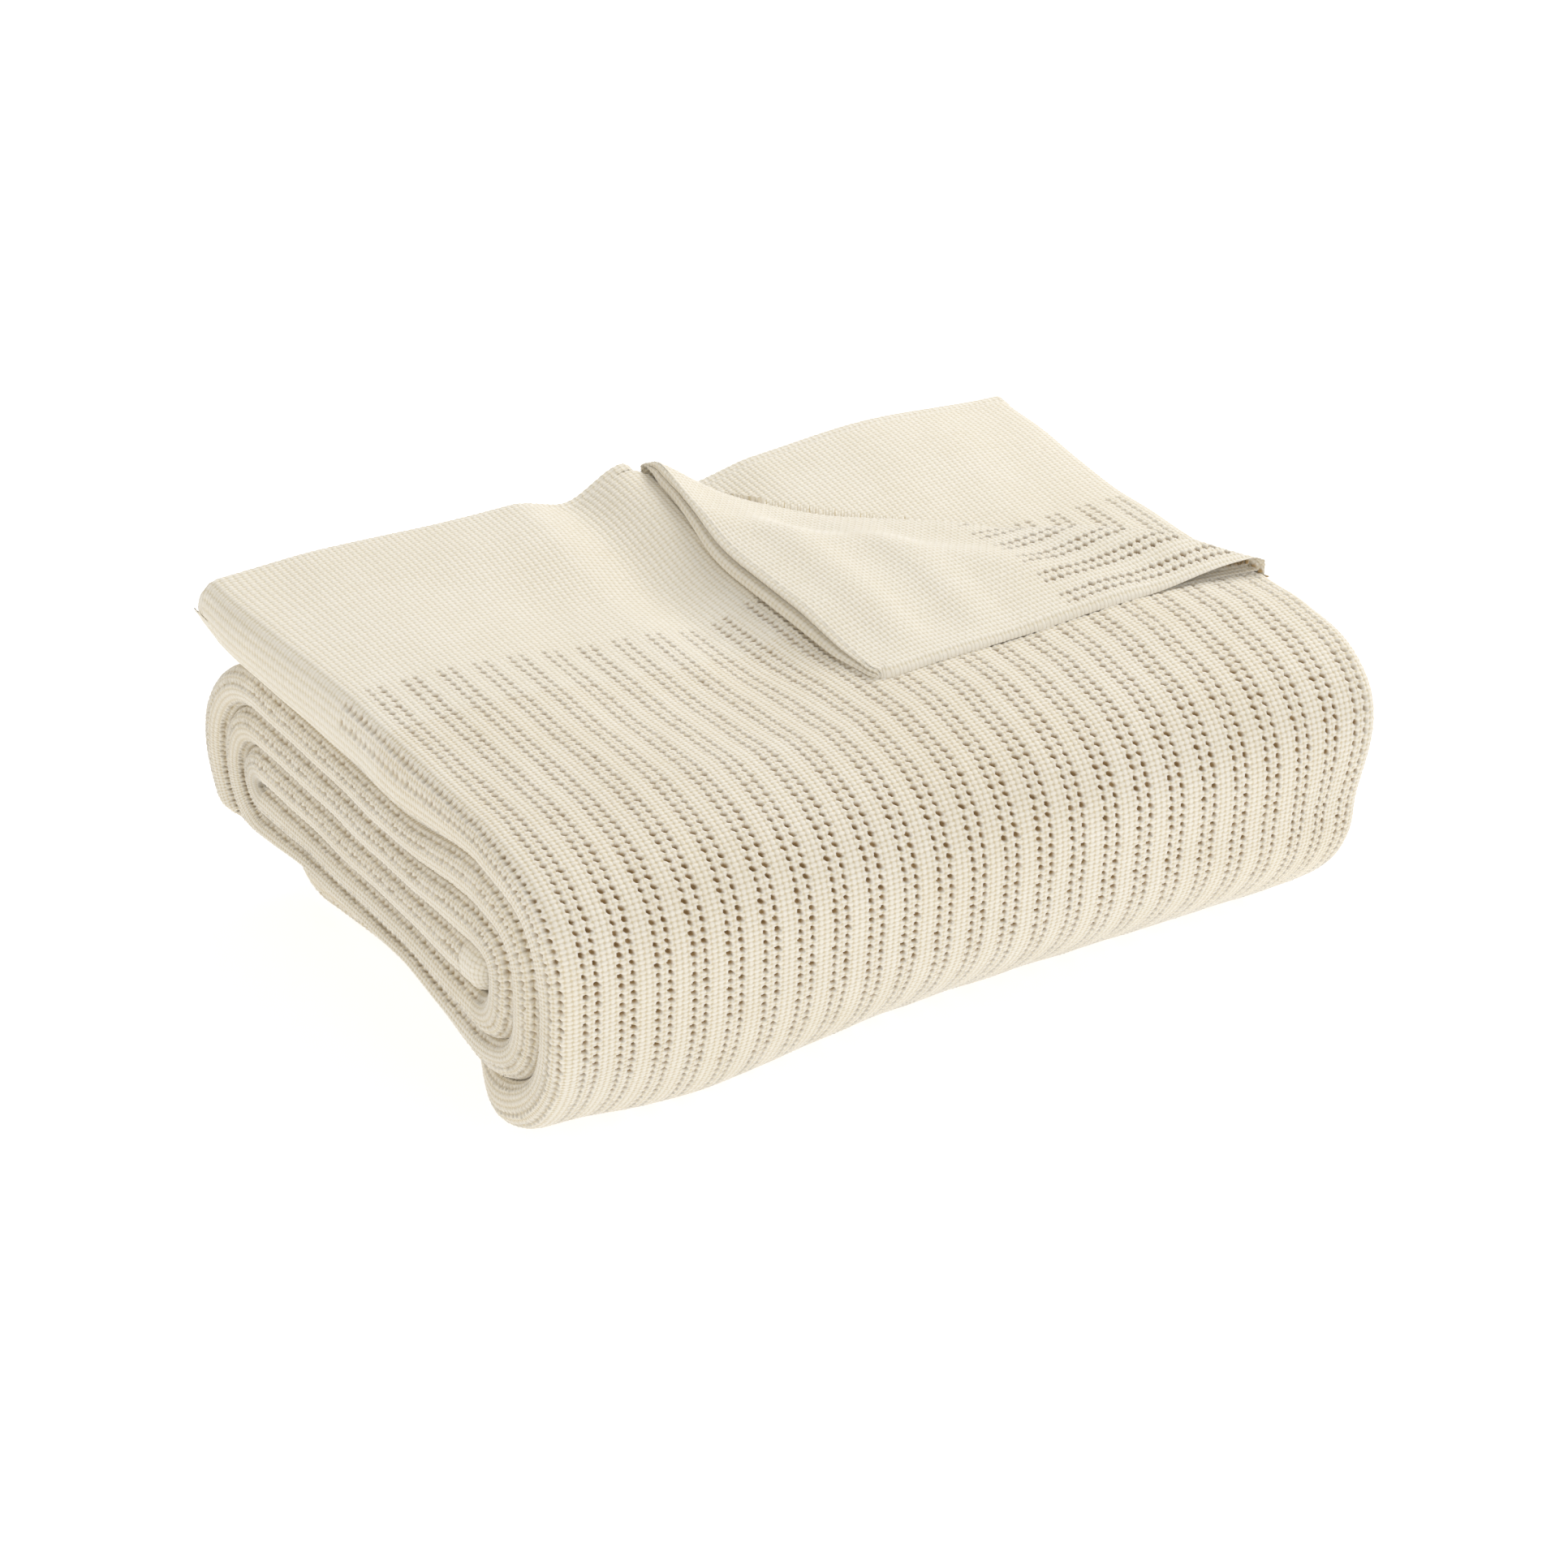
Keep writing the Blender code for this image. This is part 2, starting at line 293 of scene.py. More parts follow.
def settle(p):
    """Moves points of the neat roll to where the soft one lies, for an array of x, y, z."""
    x, y, z = p[..., 0], p[..., 1], p[..., 2]
    left, levels, behind = -x, z / LEAF, y - FRONT_Y
    top = step(levels, *TOP_LEVELS)
    end = step(left, *CREASED_ALONG)
    lip = step(left, *LIP_ALONG) * step(y, *LIP_BACK)
    out = p.copy()

    lift = END_LIFT * end * step(behind, *BEHIND_BENDS)
    sag = -END_SAG * end * step(behind, *BEHIND_BENDS)
    shift = np.where(levels < 1, lift * levels.clip(0),
                     np.where(levels < 6, lift + (sag - lift) * (levels - 1) / 5,
                              sag + (-LIP_DROOP * lip - sag) * np.clip(levels - 6, 0, 1)))
    hollow = hump(x, *HOLLOW_ALONG) * step(y, *HOLLOW_FRONT) * fade(y, *HOLLOW_BACK)
    rise = step(x, *RISE_ALONG) * hump(y, *RISE_ACROSS)
    shift = shift + (RIGHT_RISE * rise - HOLLOW * hollow) * levels / 7
    swell = 1 + (BACK_SWELL - 1) * behind.clip(0) / (BACK_Y - FRONT_Y)
    out[..., 2] = (z + shift) * swell
    foot = step(left, *FOOT_ALONG) * fade(levels, *FOOT_LEVELS) * fade(y - BACK_Y, *FOOT_BACK)
    out[..., 2] += FOOT_LIFT * foot

    tucked = step(behind, *TUCK_BEHIND) * fade(levels, *TUCK_LEVELS)
    low_front = fade(behind, *PULL_BEHIND) * fade(levels, *PULL_LEVELS)
    out[..., 0] += TUCK * step(left, *TUCK_ALONG) * tucked
    out[..., 0] -= LIP_FLARE * lip * top * step(left, *FLARE_ALONG)
    out[..., 0] -= PULL_IN * step(x, *PULL_ALONG) * low_front

    beyond = (y - BACK_Y).clip(0)
    pull = BACK_PULL * end * step(beyond, 0, BACK_PULL_RUN)
    out[..., 1] += (1 - top) * (beyond * (BACK_SWELL - 1) - pull)
    out[..., 1] += HEM_TURN * step(left, *HEM_TURN_ALONG) * step(y, *HEM_TURN_BACK) * top

    out_y, out_z = (-behind).clip(0), z - FRONT_Z
    angle = np.degrees(np.arctan2(out_y, out_z))
    fuller = SHOULDER * (1 + SHOULDER_MORE * step(x, *SHOULDER_ALONG)) * hump(angle, *SHOULDER_AT)
    chin = CHIN_LEFT + (CHIN_RIGHT - CHIN_LEFT) * step(x, *CHIN_ALONG)
    fuller = (fuller + CHIN * chin * hump(angle, *CHIN_AT)) / FRONT_Z * (behind < 0)
    out[..., 1] -= out_y * fuller
    out[..., 2] += out_z * fuller
    return out


# ---------------------------------------------------------------- yarns and holes
def yarns(u, v):
    """Plain weave: 0 in the gaps, about 1 on the crown of the yarn that lies on top."""
    warp, weft = np.abs(np.sin(pi * u)) ** YARN_ROUND, np.abs(np.sin(pi * v)) ** YARN_ROUND
    over = CROSSING * np.sin(pi * u) * np.sin(pi * v)
    return np.maximum(warp * (1 - CROSSING + over), weft * (1 - CROSSING - over))


def scatter(i, j, seed):
    """A fixed number between -1 and 1 for each pair of counts."""
    mixed = np.sin(i * 12.9898 + j * 78.233 + seed) * 43758.5453
    return 2 * (mixed - np.floor(mixed)) - 1


def holes(u, v):
    """1 in the middle of a hole of the openwork, 0 outside. Each is a little different."""
    row = np.round(v / 2)
    total = 0
    for column in (0, PAIR):
        i = np.round((u - column) / CELL) * CELL + column
        du = u - i - HOLE_STRAY * scatter(i, row, 1.0)
        dv = v - 2 * row - HOLE_STRAY * scatter(i, row, 2.0)
        size = 1 + SIZE_VARIES * scatter(i, row, 3.0)
        lean = du - HOLE_SLANT * (1 + SLANT_VARIES * scatter(i, row, 4.0)) * dv
        far = (lean / HOLE_WIDE / size) ** 2 + (dv / HOLE_TALL / size) ** 2
        total = total + smooth(HOLE_EDGE - far)
    return total.clip(0, 1)


def relief(u, v, dense):
    """Height of the surface, and how deep it sits in a hole. dense is 1 in the plain band.

    The factors of the counts only keep neighbouring yarns and holes out of step."""
    uneven = np.sin(1.9 * np.round(u) + 2.7 * np.round(v / 2) + np.sin(0.37 * v))
    sunk = holes(u, v) * (1 - dense) * (1 - DEPTH_VARIES + DEPTH_VARIES * uneven)
    spun = np.sin(2.4 * np.floor(u) + 0.21 * v) * np.sin(2.9 * np.floor(v) + 0.17 * u)
    rise = (OPEN_RISE + (BAND_RISE - OPEN_RISE) * dense) * (1 - SLUB + SLUB * spun)
    return yarns(u, v) * rise * (1 - sunk) - HOLE_DEPTH * sunk, sunk


# ---------------------------------------------------------------- meshes
def outward(p):
    """Unit normals of a grid of points whose rows follow the cloth and columns go across."""
    n = np.cross(np.gradient(p, axis=0), np.gradient(p, axis=1))
    return n / np.maximum(np.linalg.norm(n, axis=-1, keepdims=True), 1e-12)


def grid_piece(name, p, u, v, sunk, finish, keep=None, mirrored=False):
    """A named mesh from a grid of points, or from the quads of it that are kept.

    Yarn counts go in the UV map Cloth, and how much painted shade the holes and grooves get in an
    attribute."""
    shape = p.shape[:2]
    index = np.arange(shape[0] * shape[1]).reshape(shape)
    quads = np.stack([index[:-1, :-1], index[1:, :-1], index[1:, 1:], index[:-1, 1:]], -1)
    if mirrored:
        quads = quads[..., ::-1]
    quads = quads.reshape(-1, 4) if keep is None else quads[keep]
    used, quads = np.unique(quads, return_inverse=True)
    corners = quads.ravel().astype(np.int32)
    u, v, sunk = (np.broadcast_to(value, shape).ravel()[used] for value in (u, v, sunk))
    mesh = bpy.data.meshes.new(name)
    mesh.vertices.add(len(used))
    mesh.vertices.foreach_set("co", p.reshape(-1, 3)[used].astype(np.float32).ravel())
    mesh.loops.add(len(corners))
    mesh.loops.foreach_set("vertex_index", corners)
    mesh.polygons.add(len(corners) // 4)
    mesh.polygons.foreach_set("loop_start", np.arange(0, len(corners), 4, dtype=np.int32))
    cloth = np.stack([u, v], 1)
    low, high = cloth.min(0), cloth.max(0)
    spread = 0.01 + 0.98 * (cloth - low) / (high - low)
    for layer, at in (("Cloth", cloth), ("OFBake", spread)):
        uv = mesh.uv_layers.new(name=layer)
        uv.data.foreach_set("uv", at[corners].astype(np.float32).ravel())
    painted_hole_shade = mesh.attributes.new("painted_hole_shade", "FLOAT", "POINT")
    painted_hole_shade.data.foreach_set("value", sunk.astype(np.float32))
    mesh.update(calc_edges=True)
    mesh.shade_smooth()
    mesh.materials.append(finish["material"])
    piece = bpy.data.objects.new(name, mesh)
    bpy.context.collection.objects.link(piece)
    return piece


def travelled(steps):
    """Yarn counts across a hem, from the distances between its rows."""
    return np.cumsum([0] + list(steps)) / WEFT + 0.5


# ---------------------------------------------------------------- the folded cloth
# A wave is its height, middle and half width. Those beside the fold are measured from its start.
BARE = (-0.0022, 0.0015)                           # the upper plies end at the fold line
FACE_LEVELS = (5.2, 0.6)                           # where the top leaf's faces are, in leaves
FOLD_CREST, FOLD_RISE = (0.0042, -0.003, 0.026), (0.0025, -0.010, 0.075)
SIDE_DIP, SIDE_DIP_BACK = (-0.0048, -0.023, 0.023), (-0.070, 0.090)
HEM_BACK, LOWER_BACK = (0.020, 0.080), (0.020, 0.070)
LOWER_RISE, LOWER_ARCH, LOWER_DIP = 0.0030, (0.0032, 0.100, 0.060), (-0.0045, 0.024, 0.030)
FOLD_LOW = 0.0020        # the fold's crest stands at least this far over the top leaf's face
FOLD_WAVES = ((0.0035, 0.0, 0.032), (-0.0038, 0.066, 0.052), (0.0055, 0.180, 0.052))
FOLD_SLOPE = 0.034       # how far from the fold the corner reaches its full thickness


def from_fold(x, y):
    """Distance from the fold line, positive towards where the corner was, and along it."""
    dx, dy = x - FOLD_A.x, y - FOLD_A.y
    return dx * FOLD_OUT.x + dy * FOLD_OUT.y, dx * FOLD_DIR.x + dy * FOLD_DIR.y


def top_waves(x, y):
    """How the top leaf's face rises to the fold and dips beside the turned corner's hem."""
    beside = x - FOLD_A.x
    rising = step(y, *HEM_BACK) * (wave(beside, *FOLD_CREST) + wave(beside, *FOLD_RISE))
    return rising + step(y, *SIDE_DIP_BACK) * wave(beside, *SIDE_DIP)


def lower_waves(x, y):
    """How the lower plies lie behind the fold: a dip under its start, then an arch."""
    return step(y, *LOWER_BACK) * (LOWER_RISE + wave(x, *LOWER_ARCH) + wave(x, *LOWER_DIP))


def fold_height(along):
    """Height of the fold's crest over the top leaf's face, along the fold."""
    return FOLD_LOW + sum(wave(along, *each) for each in FOLD_WAVES)


def pressed(x, y):
    """How far the upper face is pressed down beside the fold, under the turned corner."""
    across, along = from_fold(x, y)
    return (fold_height(along) - PLIES) / 2 * fade(-across, 0, FOLD_SLOPE) * (across < 0)


def swellings(p):
    """Soft hollows and swellings of the cloth, in metres along its normal."""
    return UNEVEN * ripple(p[..., 0], p[..., 1] * 1.3 + p[..., 2], UNEVEN_SIZES)


def leaf_points(row, column):
    """Settled points for rows and columns, and 1 where the upper plies are missing."""
    y, z, ny, nz = (q[:, None] for q in row[:4])
    x, n = column[0][None, :], column[1][None, :]
    on_top = step((z + nz * n) / LEAF, *FACE_LEVELS) * (row[4][:, None] < STARTS[2])
    bare = step(from_fold(x, y + ny * n)[0], *BARE) * on_top
    n = n - bare * (n + SKIN) / 2
    p = np.empty((row.shape[1], len(column[0]), 3))
    p[..., 0] = x
    p[..., 1] = y + ny * n
    p[..., 2] = z + nz * n
    outer = on_top * step(n / SKIN + bare, -0.2, 1)
    upper = top_waves(p[..., 0], p[..., 1]) + pressed(p[..., 0], p[..., 1])
    p[..., 2] += outer * ((1 - bare) * upper + bare * lower_waves(p[..., 0], p[..., 1]))
    return settle(p), bare


def folded_cloth(name, first, last, density, finish, faces):
    """A stretch of the folded cloth: four plies, as one closed outline along the spiral."""
    row = rows(first, last, density[1])
    column = columns(density[0], faces)
    u, v, shown = column[2][None, :], row[4][:, None], column[3][None, :]
    p, bare = leaf_points(row, column)
    band = (BAND_UPPER + (BAND_LOWER - BAND_UPPER) * bare) / WEFT
    rise, sunk = relief(u, v, fade(v, band - 0.5, 1))
    p += outward(p) * (rise * shown + swellings(p))[..., None]
    # the holes on a leaf's end ridges get less painted shade
    ends = 1 - RIDGE_PALER * step(np.abs(p[..., 0]) - RIGHT, -1.6 * RIDGE, RIDGE)
    piece = grid_piece(name, p, u, v, sunk * shown * ends, finish)
    return piece


# ---------------------------------------------------------------- the turned corner
ROLL_ROUND = 0.0040      # how far the fold's roll reaches in plan
ROLL_START = -0.0145     # and how far its cloth goes round and onto the top leaf
CREASED = 0.36           # share of the thickness that is left at the creased edge
CREASE_SLOPE = 0.050     # how far from that edge the corner is fully thick
CREASE_ROUND = 0.0032    # rounding of the creased edge
TIP_ROUND = 0.0060       # rounding of the tip
VALLEY, VALLEY_ALONG = (0.0022, 0.022, 0.016), (0.010, 0.050)         # beside the fold
STREAKS = ((0.0011, 0.019, 0.011), (-0.0011, 0.034, 0.012), (0.00088, 0.049, 0.011))
STREAKS_ACROSS, STREAKS_CREASE = 0.030, 0.020      # ease-in from the fold and the crease
HEM_LEAN = 0.005         # how far the start of the corner's hem leans in over the fold
LEAN_ALONG, LEAN_ACROSS = 0.075, 0.040             # and where that has gone
WAVES_EASE = 0.010       # the top leaf's waves take over this far from the fold
FACE_GAP = 0.0003        # between the corner's lower face and the top leaf
CORNER_SPARE = 0.030     # cloth beyond the fold's start that the corner's grid covers
CORNER_REACH = 0.200     # and its length along the warp
BEND_REACH = 3.4         # leaves past the front bend's middle where its face still counts
FAR = 1.0                # further from the fold than any of the corner's cloth


def top_surface(x, y):
    """Height of the top leaf's face, and of the front bend's, before settling."""
    past = np.clip(FRONT_Y - y, 0, BEND_REACH * LEAF)
    return FRONT_Z + np.sqrt(FRONT_Z ** 2 - past ** 2)


def corner_height(x, y, margin):
    """Height of the turned corner's upper side over the top leaf, for cloth that lay at x, y.

    margin is the distance from the creased edge."""
    across, along = from_fold(x, y)
    full = step(across, 0, FOLD_SLOPE)
    crease = CREASED + (1 - CREASED) * step(RIGHT - x, 0, CREASE_SLOPE)
    valley = wave(across, *VALLEY) * step(along, *VALLEY_ALONG)
    streaks = sum(wave(TOP_REACH - y, *each) for each in STREAKS)
    streaks = streaks * step(across, 0, STREAKS_ACROSS) * step(RIGHT - x, 0, STREAKS_CREASE)
    edge = np.sqrt((1 - (1 - margin / CREASE_ROUND).clip(0) ** 2).clip(0))
    laid = PLIES * crease * full + streaks - valley * crease
    return fold_height(along) * (1 - full) + laid * edge


def round_tip(x, y):
    """Pulls points near the corner's tip in, so that the square corner becomes a round one."""
    a, b = (x - RIGHT + TIP_ROUND).clip(0), (y - TOP_REACH + TIP_ROUND).clip(0)
    far = np.hypot(a, b)
    pull = np.where(far > 0, np.maximum(a, b) / np.maximum(far, 1e-9), 1)
    return x - a * (1 - pull), y - b * (1 - pull)


def turned(u, v, lining=True):
    """Where the corner's cloth lies once it is turned back, on its upper side or its lower.

    Gives points, the distance from the fold and the place along it."""
    u, v = np.broadcast_arrays(u, v)
    flat_x = (FIRST_PAIR + u * WARP).clip(None, RIGHT)
    x, y = round_tip(flat_x, TOP_REACH - v * WEFT)
    across, along = from_fold(x, y)
    place = along.clip(0, FOLD_LENGTH)
    reach = across
    if lining:
        high = corner_height(x, y, RIGHT - flat_x)
        quarter = pi / 2 * np.sqrt((ROLL_ROUND ** 2 + PLIES ** 2) / 2)
        a = np.clip(pi / 2 * (1 - (ROLL_ROUND - across) / quarter), -pi / 2, pi / 2)
        on_roll = across <= ROLL_ROUND
        reach = np.where(on_roll, ROLL_ROUND * (1 - np.cos(a)), across)
        round_it = (high - PLIES) / 2 + (high + PLIES) / 2 * np.sin(a)
        height = np.where(on_roll, round_it, high)
    p = np.empty(across.shape + (3,))
    p[..., 0] = FOLD_A.x + FOLD_DIR.x * place - FOLD_OUT.x * reach
    p[..., 1] = FOLD_A.y + FOLD_DIR.y * place - FOLD_OUT.y * reach
    lean = fade(flat_x - FOLD_A.x, 0, LEAN_ALONG) * fade(TOP_REACH - y, 0, LEAN_ACROSS)
    p[..., 0] += HEM_LEAN * lean
    if not lining:
        height = FACE_GAP + pressed(p[..., 0], p[..., 1])
    waves = top_waves(p[..., 0], p[..., 1]) * step(reach, 0, WAVES_EASE)
    p[..., 2] = top_surface(p[..., 0], p[..., 1]) + height + waves
    return p, across, along


def warps(start, stop, per_warp):
    """Warp counts from x start to x stop, and one sample past it."""
    return np.arange(np.ceil((start - FIRST_PAIR) / WARP * per_warp),
                     (stop - FIRST_PAIR) / WARP * per_warp + 1) / per_warp


def between(across, along, low, high):
    """Which quads of a grid lie between two distances from the fold, and not past its ends."""
    middle = (across[:-1, :-1] + across[1:, 1:]) / 2
    on_fold = (along[:-1, :-1] > 0) & (along[:-1, :-1] < FOLD_LENGTH)
    return (middle > low) & (middle < high) & (on_fold | (middle > 0))


def corner_face(name, density, finish, low, high, lining):
    """One face of the turned corner, between two distances from its fold."""
    u = warps(FOLD_A.x - CORNER_SPARE, RIGHT, density[0])[None, :]
    v = (np.arange(0, CORNER_REACH / WEFT * density[1]) / density[1])[:, None]
    p, across, along = turned(u, v, lining)
    p = settle(p)
    band = (BAND_TURNED if lining else BAND_UPPER) / WEFT
    rise, sunk = relief(u, v, fade(v, band - 0.5, 1))
    puff = swellings(p) if lining else 0
    way = outward(p) * (-1 if lining else 1)
    p += way * (rise + puff)[..., None]
    keep = between(across, along, low, high)
    piece = grid_piece(name, p, u, v, sunk, finish, keep, lining)
    return piece


# ---------------------------------------------------------------- the hems
# A lip is its middle and half height as shares of the corner's thickness, and how far out it is.
UPPER_LIP, LOWER_LIP = (0.86, 0.14, 0.0020), (0.25, 0.25, 0.0036)
GROOVE = ((-0.0040, -0.0080, -0.0080, -0.0040), (0.70, 0.67, 0.53, 0.51))   # the same, inward
GROOVE_START, GROOVE_END = (0.022, 0.040), (0.004, 0.020)             # from the fold, the tip
GROOVE_PAINTED_SHADE = 0.60       # how much painted shade the groove gets, as a hole's depth
LIP_LEAST = 0.35         # share of the lips' reach that is left at the ends
LIP_RUN = 0.012          # the lips start this far along the fold
LIP_STEPS, LIP_FULL = 11, 0.8
HEM_FIRST = 0.001        # the corner's hem starts this far from the fold
HEM_STEPS = 13           # round a back hem
HEM_LAP = 0.003          # how far a back hem laps over the top leaf's cloth
HEM_SINK = 0.0004        # and how far its upper edge sinks into it
CUT_ROUND = 0.007        # rounding of the upper hem's end beside the fold
CREASE_POWER = 3.3       # how square a hem's creased end is
CORE_STEPS, CORE_PULL = 11, 0.8


def lip(middle, half, reach):
    """A ply's rounded edge from above to below: how far out, and the share of thickness."""
    around = np.linspace(pi / 2, -pi / 2, LIP_STEPS)
    return reach * np.cos(around) ** LIP_FULL, middle + half * np.sin(around)


def corner_hem(name, finish):
    """The two plies' hems along the turned corner: a lip, a gap with painted shade and a fuller
    lip.
    """
    u = warps(FOLD_A.x + HEM_FIRST, RIGHT, 4)
    x = FIRST_PAIR + u * WARP
    over, _, along = turned(u, 0.0)
    under, _, _ = turned(u, 0.0, False)
    start = step(along, 0, LIP_RUN)
    under = over * (1 - start[:, None]) + under * start[:, None]
    reach, share = np.concatenate([lip(*UPPER_LIP), GROOVE, lip(*LOWER_LIP)], axis=1)
    open_part = step(RIGHT - x, *GROOVE_END) * step(x - FOLD_A.x, *GROOVE_START)
    lips = (LIP_LEAST + (1 - LIP_LEAST) * open_part) * start
    p = under + (over - under) * share[:, None, None]
    p[..., 0] -= reach[:, None] * np.where(reach[:, None] < 0, open_part, lips)
    p = settle(p)
    v = travelled(np.linalg.norm(np.diff(p.mean(1), axis=0), axis=-1))
    rise, _ = relief(u[None, :], v[:, None], 1.0)
    p += outward(p) * (rise * (reach >= 0)[:, None])[..., None]
    # painted shade in the groove between the lips
    deep = GROOVE_PAINTED_SHADE * (reach < 0)[:, None] * open_part[None, :]
    piece = grid_piece(name, p, u[None, :], v[:, None], deep, finish)
    return piece


def back_hem(name, finish, high, low, reach, right_end):
    """A hem of the top leaf: from its face at n = high round the plies' edges to n = low."""
    u = warps(LEFT, right_end, 3)
    x = (FIRST_PAIR + u * WARP).clip(LEFT + 0.1 * RIDGE, right_end)
    half = (high - low) / 2
    turn = np.linspace(pi / 2, -pi / 2, HEM_STEPS)
    lap = [TOP_REACH - HEM_LAP]
    y = np.concatenate([lap, reach - half + half * np.cos(turn), lap])
    n = np.concatenate([[high - HEM_SINK], (high + low) / 2 + half * np.sin(turn), [low]])
    ends = np.sqrt((1 - ((LEFT + RIDGE - x).clip(0) / CREASE) ** CREASE_POWER).clip(0))
    if right_end < RIGHT:
        cut = (x - right_end + CUT_ROUND).clip(0) / CUT_ROUND
        ends = ends * np.sqrt((1 - cut ** 2).clip(0))
    p = np.empty((len(y), len(u), 3))
    p[..., 0] = x
    p[..., 1] = y[:, None]
    p[..., 2] = 6.5 * LEAF + n[:, None] * ends
    if low < 0:
        p[..., 2] += lower_waves(x, y[:, None]) * (x > FOLD_A.x)
    else:
        p[..., 2] += top_waves(x, y[:, None])
    p = settle(p)
    v = travelled(np.hypot(np.diff(y), np.diff(n)))
    rise, _ = relief(u[None, :], v[:, None], 1.0)
    p += outward(p) * rise[..., None]
    piece = grid_piece(name, p, u[None, :], v[:, None], 0, finish)
    return piece


def core_hem(name, finish):
    """The rounded hem at the cloth's inner end, which closes the core at its front."""
    x, n, u, shown = columns(MEDIUM[0], "edges")
    turn = np.linspace(0, pi / 2, CORE_STEPS)
    y = np.concatenate([[CORE_FRONT], CORE_FRONT - HEM / 2 - SKIN * np.sin(turn)])
    share = np.concatenate([[1.0], np.cos(turn)])
    pulled = RIDGE * CORE_PULL * (1 - share)[:, None] * np.sign(x)
    p = np.empty((len(y), len(u), 3))
    p[..., 0] = x - pulled * (np.abs(x) > RIGHT - 2 * RIDGE)
    p[..., 1] = y[:, None]
    p[..., 2] = FRONT_Z + n * share[:, None]
    p = settle(p)
    v = CORE_END + np.concatenate([[0], HEM / 2 + SKIN * turn]) / WEFT
    rise, _ = relief(u[None, :], v[:, None], 1.0)
    p += outward(p) * (rise * shown * share[:, None])[..., None]
    piece = grid_piece(name, p, u[None, :], v[:, None], 0, finish)
    return piece


# ---------------------------------------------------------------- finishes
CREAM = (0.880, 0.835, 0.745, 1)
# colours painted where the yarns dive and meet, as shade, and where their own tone is darker
OPENWORK_SHADOW = (0.67, 0.575, 0.395, 1)
BAND_SHADOW = (0.715, 0.635, 0.465, 1)
# painted shade for the holes and the hem's groove, standing in for the shaded plies beneath
HOLE_PAINTED_SHADE = (0.42, 0.285, 0.135, 1)
HOLE_SPREAD, HOLE_ONSET = 1.9, 0.15                # how fast, and how deep, the painted hole shade sets in
OVER_SHARP = 2.2         # how sharply one yarn gives way to the other
# Crowns painted lighter and gaps painted darker stand in for light and shade on the yarns; yarn
# tone, fibre and broad noise are the cloth's own uneven tone.
CROWN_LIGHT, YARN_LIGHT, FIBRE_LIGHT, BROAD_LIGHT = 0.55, 0.45, 0.50, 0.35
LIGHT_BASE = 0.32        # what is taken off before the shadow colour gives way to cream
FIBRE_DEPTH = 0.5        # height of the fibres' twist beside that of the yarns
ROUGH, ROUGH_VARIES = 0.80, 0.10


class Value:
    """A number that changes over the surface: a shader socket with Python's operators."""

    def __init__(self, finish, socket):
        self.finish, self.socket = finish, socket

    def math(self, operation, *values):
        node = self.finish.node("ShaderNodeMath", {"operation": operation},
                                dict(enumerate(values)))
        return Value(self.finish, node.outputs[0])

    def __add__(self, other):
        return self.math("ADD", self, other)

    __radd__ = __add__

    def __sub__(self, other):
        return self.math("SUBTRACT", self, other)

    def __rsub__(self, other):
        return self.math("SUBTRACT", other, self)

    def __mul__(self, other):
        return self.math("MULTIPLY", self, other)

    __rmul__ = __mul__

    def __pow__(self, other):
        return self.math("POWER", self, other)

    def __rpow__(self, other):
        return self.math("POWER", other, self)

    def sine(self):
        return self.math("SINE", self)

    def floor(self):
        return self.math("FLOOR", self)

    def absolute(self):
        return self.math("ABSOLUTE", self)

    def clamped(self):
        return self.math("MAXIMUM", self.math("MINIMUM", self, 1.0), 0.0)


class Finish:
    """A finish while its nodes are being laid out."""

    def __init__(self, name):
        self.material = bpy.data.materials.new(name)
        self.material.use_nodes = True
        self.tree = self.material.node_tree
        self.tree.nodes.clear()

    def node(self, kind, settings=None, inputs=None):
        """A node of a kind, its settings first, then the values or links of its sockets."""
        node = self.tree.nodes.new(kind)
        for key, value in (settings or {}).items():
            setattr(node, key, value)
        for key, value in (inputs or {}).items():
            if isinstance(value, Value):
                value = value.socket
            if isinstance(value, bpy.types.NodeSocket):
                self.tree.links.new(value, node.inputs[key])
            else:
                node.inputs[key].default_value = value
        return node

    def yarn_counts(self):
        cloth = self.node("ShaderNodeUVMap", {"uv_map": "Cloth"})
        split = self.node("ShaderNodeSeparateXYZ", None, {0: cloth.outputs[0]})
        return Value(self, split.outputs[0]), Value(self, split.outputs[1])

    def noise(self, x, y, scale=1.0, detail=2.0):
        at = self.node("ShaderNodeCombineXYZ", None, {0: x, 1: y, 2: 0.0})
        noise = self.node("ShaderNodeTexNoise", None,
                          {"Vector": at.outputs[0], "Scale": scale, "Detail": detail})
        return Value(self, noise.outputs[0])

    def mixed(self, factor, one, other):
        mix = self.node("ShaderNodeMix", {"data_type": "RGBA"}, {0: factor, 6: one, 7: other})
        return mix.outputs[2]

    def surface(self, inputs):
        shader = self.node("ShaderNodeBsdfPrincipled", None, inputs)
        self.node("ShaderNodeOutputMaterial", None, {"Surface": shader.outputs[0]})


